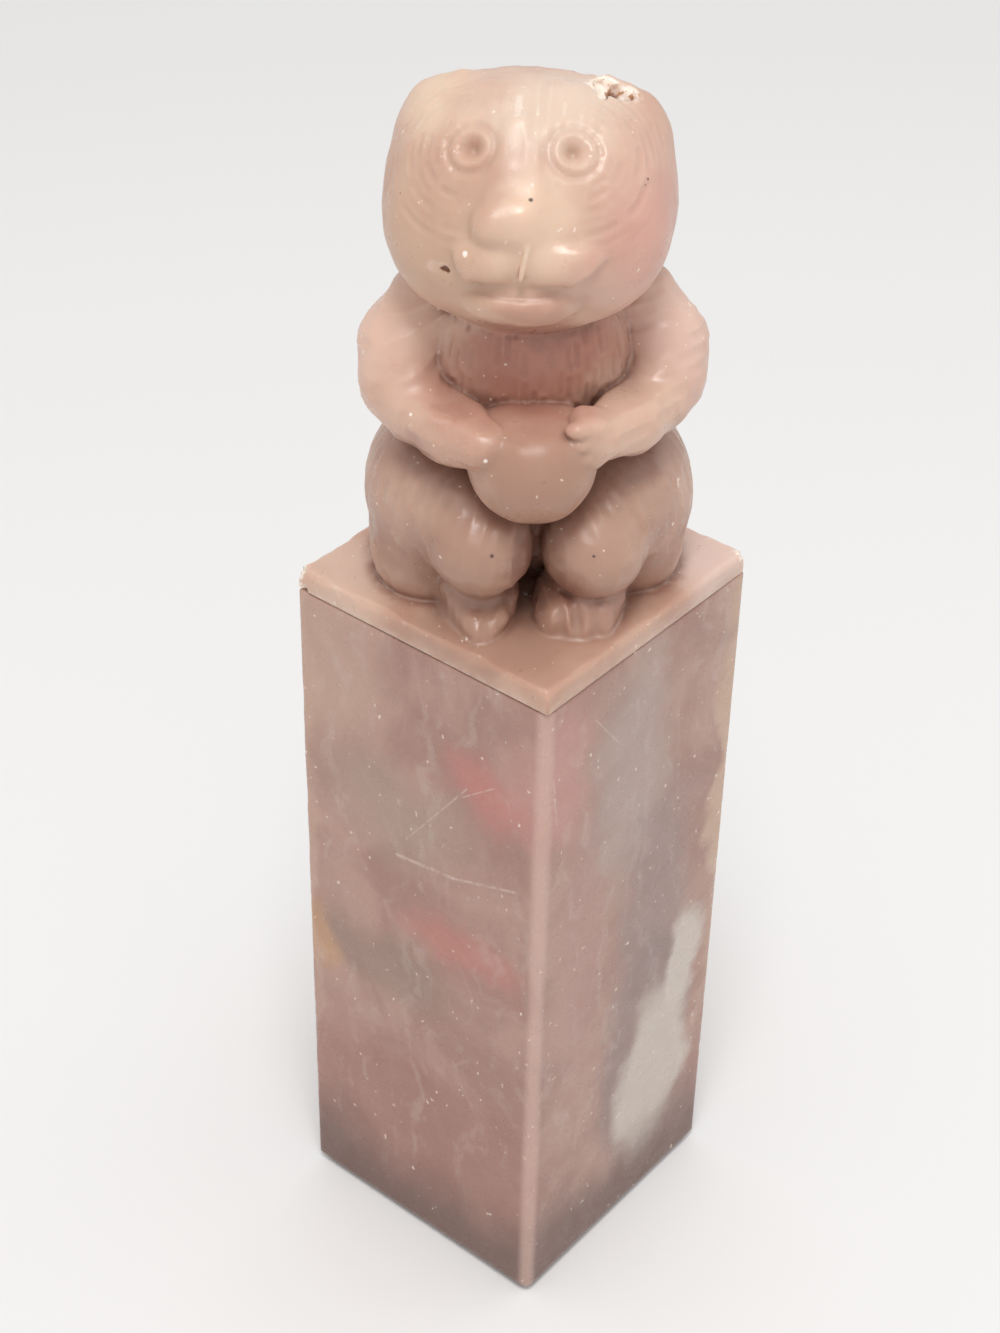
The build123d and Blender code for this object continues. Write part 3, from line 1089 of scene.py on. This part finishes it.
def start_stone(name, size, reach, clouds, warp, pale, dark):
    """A stone of two cloudy colours, and a place pushed about by noise of that size."""
    stone = Look(name)
    inputs = {"Vector": stone.place, "Scale": 1 / (size * MM), "Detail": PUSH_DETAIL}
    push = stone.node("ShaderNodeTexNoise", inputs)
    moved = stone.vector("SUBTRACT", push.outputs["Color"], (0.5, 0.5, 0.5))
    moved = stone.vector("MULTIPLY", moved, (reach * MM,) * 3)
    stone.warped = stone.vector("ADD", stone.place, moved)
    cloud = stone.ramp(stone.noise(*clouds, warp=warp), *CLOUD_LIMITS)
    return stone, stone.mix(cloud, linear(pale), linear(dark))


# What age does, and painted shade: the mesh attribute that says where, its limits, the noise that
# breaks it up, that noise's limits, and how much of which colour. Edges go paler with wear;
# hollows darker, with dirt and painted shade
AGEING_AND_SHADE = (
    ("edge", (0.12, 0.45), (1.0, 3.0), (0.35, 0.65), 0.3, "#e8d4c7"),
    ("hollow", (0.30, 0.80), (1.2, 3.0), (0.2, 0.6), 0.7, "#8f6353"),
)
FLECK_COLOUR = "#ecdacd"
FLECK_SHARE = 0.7
FLECK_NOISE = (0.55, 1.0, 0.4)
FLECKS = (0.74, 0.80)
LIGHT_REACH = (1.0, 0.6, 0.45)
LIGHT_DEPTH = 0.0018
STONE_IOR = 1.5
SMEAR_NOISE = (2.5, 3.0, 0.6)
SMEARS = (0.3, 0.7)
SMEAR_SHINIER = 0.08
SMEAR_DULLER = 0.12
POLISH_STRETCH = (1.0, 1.0, 0.14)
POLISH_NOISE = (0.16, 2.0, 0.6)
POLISH_SHARE = 0.6
GRAIN_NOISE = (0.3, 3.0, 0.7)
GRAIN_STRENGTH = 0.2
GRAIN_DEPTH = 0.00006


def finish_stone(stone, colour, dull, waxy):
    """Worn edges, dirt and painted shade in hollows, wax gloss, light inside the stone and fine
    scratches.
    """
    # Edges paler with wear; hollows darker with dirt and painted shade
    for name, limits, size, patches, share, tint in AGEING_AND_SHADE:
        there = stone.ramp(stone.attribute(name), *limits)
        there = stone.math("MULTIPLY", there, stone.ramp(stone.noise(*size), *patches))
        colour = stone.mix(stone.math("MULTIPLY", there, share), colour, linear(tint))
    fleck = stone.ramp(stone.noise(*FLECK_NOISE), *FLECKS, 0.0, FLECK_SHARE)
    colour = stone.mix(fleck, colour, linear(FLECK_COLOUR))
    roughness = stone.ramp(stone.noise(*SMEAR_NOISE), *SMEARS,
                           dull - SMEAR_SHINIER, dull + SMEAR_DULLER)
    scratch = stone.noise(*POLISH_NOISE, stone.stretched(stone.place, POLISH_STRETCH))
    height = stone.math("MULTIPLY", scratch, POLISH_SHARE)
    height = stone.math("ADD", height, stone.noise(*GRAIN_NOISE))
    bump = stone.node("ShaderNodeBump", {"Height": height, "Strength": GRAIN_STRENGTH,
                                         "Distance": GRAIN_DEPTH})
    stone.finish({"Base Color": colour, "Roughness": roughness, "Normal": bump.outputs[0],
                  "Subsurface Weight": waxy, "Subsurface Radius": LIGHT_REACH,
                  "Subsurface Scale": LIGHT_DEPTH, "IOR": STONE_IOR})
    return stone.material


# Clouds of the cap: colour, centre in the animal's frame, radii, softness and strength. Some dark
# ones are painted shade
CAP_CLOUDS = (
    ("#cf9f92", (7.5, -6, 30.5), (5, 6, 6), 0.7, 0.75),
    ("#c4a188", (-7, -6, 30), (5, 6, 6), 0.7, 0.7),
    ("#e2c4ac", (-1, -10.5, 33.5), (2.6, 3, 4), 0.6, 0.8),
    ("#e4cdb2", (-7, 0, 38), (3, 3, 1.6), 0.7, 0.6),
    ("#dfcab7", (0.5, -4, 39.5), (6, 4, 3), 0.7, 0.8),
    ("#dcb9a8", (-9.5, -1, 18.5), (4, 5, 6), 0.5, 0.7),
    ("#dcbbae", (9.8, -1, 18.5), (4, 5, 6), 0.5, 0.7),
    # Painted shade, with dirt, on the chest under the head and beside the left arm
    ("#b67d6c", (0.5, -5.5, 21), (7.5, 4.5, 4.5), 0.5, 0.85),
    ("#ab7665", (-4.5, -4.5, 19), (4, 4, 3), 0.5, 0.6),
    ("#ab8370", (-0.5, -12, 14), (5, 4, 5), 0.4, 0.9),
    ("#977160", (0, -3, 4), (13, 11, 8.5), 0.35, 0.85),
    ("#a67e6f", (4, -9, 2), (6, 4, 2.5), 0.5, 0.6),
    ("#906b5b", (-9.5, -2, 9), (4, 5, 5), 0.6, 0.25),
    ("#936e61", (10, -2, 9), (4, 5, 5), 0.6, 0.25),
    ("#b18c7a", (-3.8, -9.6, 6.3), (3.2, 3, 3), 0.5, 0.7),
    ("#b5907e", (4.2, -9.4, 6.3), (3.2, 3, 3), 0.5, 0.7),
    # Painted shade, with dirt: on the haunches under the arms, between the knees, round the feet
    # and under the chin
    ("#8a6050", (-7, -4.5, 13.2), (5, 4.5, 2), 0.5, 0.8),
    ("#8f6656", (7.5, -4.5, 12.8), (5, 4.5, 2.2), 0.5, 0.7),
    ("#875d4e", (0.2, -9.5, 3.5), (1.6, 3.5, 5), 0.5, 0.8),
    ("#9c7262", (0, -10.8, 0.1), (7.5, 2.6, 0.9), 0.4, 0.7),
    ("#94695a", (0, -5.5, 24.2), (7, 3.5, 1.8), 0.5, 0.7),
    ("#d0ab9b", (3.5, -10.5, 28.6), (3, 2.5, 2), 0.5, 0.7),
    # Painted shade in the recess between the lip pads and the chin
    ("#b48775", (0, -9.6, 27.2), (4, 2, 0.9), 0.4, 0.6),
    ("#b8937f", (0, -13, 0), (5, 5, 2.5), 0.5, 0.6),
    ("#dcc4b8", (14, 0, 0), (4.5, 6, 2.5), 0.6, 0.8),
    ("#cfb2a1", (-14, 0, 0), (4, 5, 2.5), 0.6, 0.7),
)
# Painted shade in each eye's pit: its colour and size
EYE_PIT_SHADE = "#a06f5b"
EYE_PIT_SHADE_SIZE = 0.5
# Specks on the front of the cap: x, z and size in the animal's frame
DARK_SPECKS = (
    (-1.3, 35.1, 0.2),
    (-3.6, 7.6, 0.2),
    (3.9, 7.2, 0.14),
    (7, 35, 0.13),
    (6.8, 34.7, 0.1),
    (-9.7, 33.4, 0.1),
)
# The pale specks are painted highlights on small chips
HIGHLIGHT_SPECKS = (
    (-5.7, 31.5, 0.26),
    (-4.2, 16, 0.22),
    (-9.2, 17.2, 0.15),
)
# Painted highlights down the forehead, where knife facets catch the light: x, low z, high z and
# width in the head's frame
BROW_HIGHLIGHTS = (
    (-0.65, 7.2, 8.3, 0.24),
    (-1.1, 7.5, 8, 0.1),
    (0.75, 7.4, 7.8, 0.15),
    (2.5, 7.4, 8, 0.15),
    (3.1, 7.2, 7.7, 0.1),
    (3.7, 7, 7.4, 0.18),
)
DARK_SPECK_COLOUR = "#4c3a34"
HIGHLIGHT_SPECK_COLOUR = "#f8efe6"
BROW_HIGHLIGHT_COLOUR = "#eadaca"
BROW_HIGHLIGHT_LEAST = 0.3
PIT_SINK = 0.3
# Size and reach of the push, noise and warp of the clouds, pale and dark colour
CAP_GROUND = (5.5, 6, (7, 4, 0.55), 0.4, "#d2b19d", "#c49d8a")
CAP_DULLNESS = 0.34
CAP_WAXINESS = 0.4
CHIP_PALE = "#efe0d2"
CHIP_RUST = "#b98a63"
RUST_NOISE = (0.45, 3, 0.6)
RUST_PATCHES = (0.56, 0.66)


def cap_stone():
    """Pale pink stone with clouds, painted shade, specks, painted forehead highlights and rusty
    chips.
    """
    stone, colour = start_stone("cap_stone", *CAP_GROUND)
    for tint, centre, radii, soft, share in CAP_CLOUDS:
        place = cap_to_row(np.array([centre]))[0]
        colour = stone.patch(linear(tint), colour, place, radii, soft, share)
    # Painted shade in each eye's pit
    for seat, outward, _ in EYE_SEATS:
        pit = cap_to_row(out_of_head(seat - PIT_SINK * outward)[None])[0]
        colour = stone.spot(linear(EYE_PIT_SHADE), colour, pit, EYE_PIT_SHADE_SIZE)
    # Painted highlights: pale lines where the forehead's knife facets catch the light
    for x, low, high, width in BROW_HIGHLIGHTS:
        ends = [out_of_head(front_of(skull, x, z)) for z in (low, high)]
        start, end = cap_to_row(np.array(ends))
        tint = linear(BROW_HIGHLIGHT_COLOUR)
        colour = stone.scratch(tint, colour, start, end, width, BROW_HIGHLIGHT_LEAST)
    # Dark specks, and pale specks that are painted highlights on small chips
    for code, spots in ((DARK_SPECK_COLOUR, DARK_SPECKS), (HIGHLIGHT_SPECK_COLOUR, HIGHLIGHT_SPECKS)):
        for x, z, size in spots:
            place = cap_to_row(front_of(carving, x, z)[None])[0]
            colour = stone.spot(linear(code), colour, place, size)
    rust = stone.ramp(stone.noise(*RUST_NOISE), *RUST_PATCHES)
    fresh = stone.mix(rust, linear(CHIP_PALE), linear(CHIP_RUST))
    colour = stone.mix(stone.attribute("chipped"), colour, fresh)
    return finish_stone(stone, colour, CAP_DULLNESS, CAP_WAXINESS)


# Clouds of the shaft: colour, centre in the row frame, radii, softness and strength.
# The face at -X is the photo's left one, the face at -Y its right one.
LEFT_X = -HALF_SIDE
RIGHT_Y = -HALF_SIDE
SHAFT_CLOUDS = (
    ("#bd9d8b", (LEFT_X, 9, 58), (5, 5, 8), 0.7, 0.8),
    ("#a58d80", (LEFT_X, 2, 47.5), (5, 7, 4), 0.6, 0.6),
    ("#bf7b72", (LEFT_X, -6.9, 54), (4, 4.4, 3), 0.6, 0.75),
    ("#bd7a6f", (LEFT_X, -4.3, 36.5), (4, 5.5, 2.6), 0.6, 0.65),
    ("#93796d", (LEFT_X, 5, 30), (4, 7, 3.2), 0.5, 0.65),
    ("#c0946e", (LEFT_X, 11.5, 29), (3, 2, 4), 0.5, 0.7),
    ("#98695f", (LEFT_X, 1, 13), (5, 14, 9), 0.5, 0.65),
    ("#c18d84", (-9.8, RIGHT_Y, 57.5), (3.2, 4, 6), 0.6, 0.75),
    ("#ae9d95", (-1, RIGHT_Y, 53), (5, 4, 11), 0.5, 0.65),
    ("#947f7a", (3.5, RIGHT_Y, 38), (5, 4, 9), 0.5, 0.65),
    ("#ad857d", (-7.5, RIGHT_Y, 38), (3, 4, 14), 0.5, 0.6),
    ("#8a7671", (3, RIGHT_Y, 20.5), (6.4, 4, 13), 0.3, 0.7),
    ("#c8bbaf", (4.6, RIGHT_Y, 14.5), (4.8, 4, 10.5), 0.25, 0.9),
    ("#cbbfb4", (8.2, RIGHT_Y, 26.5), (2.8, 3, 5.4), 0.3, 0.9),
    ("#c9ac93", (12.5, RIGHT_Y, 46), (1.5, 3, 24), 0.5, 0.7),
    ("#c6a692", (LEFT_X, 12.5, 46), (3, 1.2, 24), 0.5, 0.5),
)
# Scratches and pale veins in the two faces: from, to and width
SHAFT_SCRATCHES = (
    ((LEFT_X, 1.4, 45.3), (LEFT_X, -4.9, 53.9), 0.07),
    ((LEFT_X, -4.4, 52.8), (LEFT_X, -7.6, 55.4), 0.06),
    ((LEFT_X, 2.4, 43.1), (LEFT_X, -3.6, 44), 0.16),
    ((LEFT_X, -3.6, 44), (LEFT_X, -10, 46.2), 0.12),
    ((LEFT_X, 2.05, 48.7), (LEFT_X, 2.05, 49), 0.28),
    ((-11.4, RIGHT_Y, 58), (-10.9, RIGHT_Y, 53.5), 0.1),
    ((-6.5, RIGHT_Y, 61), (-3, RIGHT_Y, 56.5), 0.06),
)
SCRATCH_COLOUR = "#cdb5a9"
SHAFT_GROUND = (8.0, 9.0, (9.0, 5.0, 0.6), 0.6, "#b28e80", "#a07a6e")
SHAFT_DULLNESS = 0.28
SHAFT_WAXINESS = 0.15
STREAK_COLOUR = "#cfc0b7"
STREAK_STRETCH = (1.0, 1.0, 0.12)
STREAK_NOISE = (1.6, 4.0, 0.6)
STREAKS = (0.52, 0.70)
STREAK_SHARE = 0.2
FOOT_COLOUR = "#674b43"
FOOT_HEIGHTS = (0.002, 0.012)
FOOT_SHARE = 0.85
FRONT_EDGE_COLOUR = "#d2b3a7"
# The sum of x and y, in metres, at which the front edge's pale chamfer starts to fade
FRONT_EDGE_PLACE = (-0.0246, -0.0236)
FRONT_EDGE_SHARE = 0.6


def shaft_stone():
    """Pink and grey stone, darker at the foot, paler along the front edge."""
    stone, colour = start_stone("shaft_stone", *SHAFT_GROUND)
    for tint, centre, radii, soft, share in SHAFT_CLOUDS:
        colour = stone.patch(linear(tint), colour, centre, radii, soft, share)
    streak = stone.noise(*STREAK_NOISE, stone.stretched(stone.warped, STREAK_STRETCH))
    streak = stone.ramp(streak, *STREAKS, 0.0, STREAK_SHARE)
    colour = stone.mix(streak, colour, linear(STREAK_COLOUR))
    height = stone.node("ShaderNodeSeparateXYZ", {0: stone.warped}).outputs["Z"]
    foot = stone.ramp(height, *FOOT_HEIGHTS, FOOT_SHARE, 0.0)
    colour = stone.mix(foot, colour, linear(FOOT_COLOUR))
    across = stone.vector("DOT_PRODUCT", stone.place, (1.0, 1.0, 0.0), "Value")
    front = stone.ramp(across, *FRONT_EDGE_PLACE, FRONT_EDGE_SHARE, 0.0)
    colour = stone.mix(front, colour, linear(FRONT_EDGE_COLOUR))
    for start, end, width in SHAFT_SCRATCHES:
        colour = stone.scratch(linear(SCRATCH_COLOUR), colour, start, end, width)
    return finish_stone(stone, colour, SHAFT_DULLNESS, SHAFT_WAXINESS)


GLUE_COLOUR = "#9c7f70"
GLUE_ROUGHNESS = 0.75


def glue():
    film = Look("glue")
    film.finish({"Base Color": linear(GLUE_COLOUR), "Roughness": GLUE_ROUGHNESS})
    return film.material


# Pieces

FILM_STEPS = 60
FILM_INSET = 0.05
FILM_WAVES = (0.05, 2.0, 41)


def film_ring(half):
    """Points round the film, in millimetres, the edge wavering in from the stones' sides."""
    ring = []
    for side in range(4):
        turn = axis_turn("z", 90.0 * side)
        for step in range(FILM_STEPS):
            along = (2 * step / FILM_STEPS - 1) * half
            ring.append(turn @ (half, along, 0.0))
    ring = np.array(ring)
    inset = np.maximum(FILM_INSET + waves(ring, *FILM_WAVES), 0)
    return ring * (1 - inset / half)[:, None]


def glue_film():
    (low_x, _, bottom), (high_x, _, top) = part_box("glue_bed")
    ring = film_ring((high_x - low_x) / 2 / MM)
    count = len(ring)
    vertices = np.concatenate([ring + (0, 0, bottom / MM), ring + (0, 0, top / MM)])
    index = np.arange(count)
    following = (index + 1) % count
    sides = np.stack([index, following, following + count, index + count], 1)
    mesh = bpy.data.meshes.new("glue_film")
    faces = sides.tolist() + [index[::-1].tolist(), (index + count).tolist()]
    mesh.from_pydata((vertices * MM).tolist(), [], faces)
    return put("glue_film", mesh)


def dress(made, material, node):
    made.data.materials.clear()
    made.data.materials.append(material)
    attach(made, "root")
    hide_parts(node)


# The space that each stone is looked for in, in its own frame, and how far a field may
# stray from a true distance
CARVING_LOW = (-18.0, -18.0, -2.4)
CARVING_HIGH = (18.0, 18.0, 40.4)
CARVING_STRAY = 0.35
SHAFT_MARGIN = 0.6
SHAFT_STRAY = 0.1


def make_pieces():
    cap = carve_object("animal_cap", carving, CARVING_LOW, CARVING_HIGH, CARVING_VOXEL,
                       CARVING_STRAY, CARVING_FACETS, cap_to_row)
    dress(cap, cap_stone(), "carved_top")
    edge = HALF_SIDE + SHAFT_MARGIN
    low = (-edge, -edge, -SHAFT_MARGIN)
    high = (edge, edge, SHAFT_TOP + SHAFT_MARGIN)
    stem = carve_object("seal_shaft", shaft, low, high, SHAFT_VOXEL,
                        SHAFT_STRAY, SHAFT_FACETS, lambda points: points)
    dress(stem, shaft_stone(), "seal_block")
    dress(glue_film(), glue(), "glue_bed")


# Floor, light and camera

FLOOR_SIZE = 6.0
FLOOR_COLOUR = "#ecebea"
FLOOR_ROUGHNESS = 0.9
FLOOR_GLOSS = 0.1


def make_floor():
    bpy.ops.mesh.primitive_plane_add(size=FLOOR_SIZE, location=(0, 0, 0))
    floor = bpy.context.object
    floor.name = "floor"
    paper = Look("floor_paper")
    paper.finish({"Base Color": linear(FLOOR_COLOUR), "Roughness": FLOOR_ROUGHNESS,
                  "Specular IOR Level": FLOOR_GLOSS})
    floor.data.materials.append(paper.material)


# Lamps: name, place and size in metres, and power
LAMPS = (
    ("window", (-0.16, -0.12, 0.58), (0.15, 0.20), 1.5),
    ("front_fill", (-0.45, -0.45, 0.30), (0.6, 0.4), 0.12),
    ("side_fill", (0.55, -0.35, 0.35), (0.4, 0.4), 0.25),
)
LAMP_AIM = (0, 0, 0.07)
SKY_STRENGTH = 0.73


def area_light(name, place, size, power):
    light = bpy.data.lights.new(name, "AREA")
    light.shape = "RECTANGLE"
    light.size, light.size_y = size
    light.energy = power
    made = put(name, light)
    made.location = place
    towards = Vector(LAMP_AIM) - Vector(place)
    made.rotation_euler = towards.to_track_quat("-Z", "Y").to_euler()


def make_lights():
    for lamp in LAMPS:
        area_light(*lamp)
    world = bpy.data.worlds.new("studio")
    bpy.context.scene.world = world
    world.use_nodes = True
    background = world.node_tree.nodes["Background"]
    background.inputs["Color"].default_value = (1, 1, 1, 1)
    background.inputs["Strength"].default_value = SKY_STRENGTH


CAMERA_AZIMUTH = 218.9
CAMERA_ELEVATION = 36.6
CAMERA_ROLL = 1.25
CAMERA_DISTANCE = 7.93 * SIDE
CAMERA_SHIFT = -0.067 * SIDE
CAMERA_TARGET = 2.25 * SIDE
LENS = 66.38
PICTURE_HEIGHT_MM = 36.0


def make_camera():
    azimuth = math.radians(CAMERA_AZIMUTH)
    elevation = math.radians(CAMERA_ELEVATION)
    roll = math.radians(CAMERA_ROLL)
    level = np.array([math.cos(azimuth), math.sin(azimuth), 0.0])
    away = math.cos(elevation) * level + np.array([0.0, 0.0, math.sin(elevation)])
    right = np.array([-math.sin(azimuth), math.cos(azimuth), 0.0])
    up = np.cross(away, right)
    target = np.array([0, 0, CAMERA_TARGET]) + right * CAMERA_SHIFT
    place = (target + away * CAMERA_DISTANCE) * MM
    rolled_right = math.cos(roll) * right + math.sin(roll) * up
    rolled_up = math.cos(roll) * up - math.sin(roll) * right
    camera = bpy.data.cameras.new("camera")
    camera.lens = LENS
    camera.sensor_fit = "VERTICAL"
    camera.sensor_height = PICTURE_HEIGHT_MM
    made = put("camera", camera)
    axes = np.eye(4)
    axes[:3, 0] = rolled_right
    axes[:3, 1] = rolled_up
    axes[:3, 2] = away
    axes[:3, 3] = place
    made.matrix_world = Matrix(axes.tolist())
    bpy.context.scene.camera = made


make_pieces()
make_floor()
make_lights()
make_camera()
bpy.context.scene.view_settings.view_transform = "Standard"
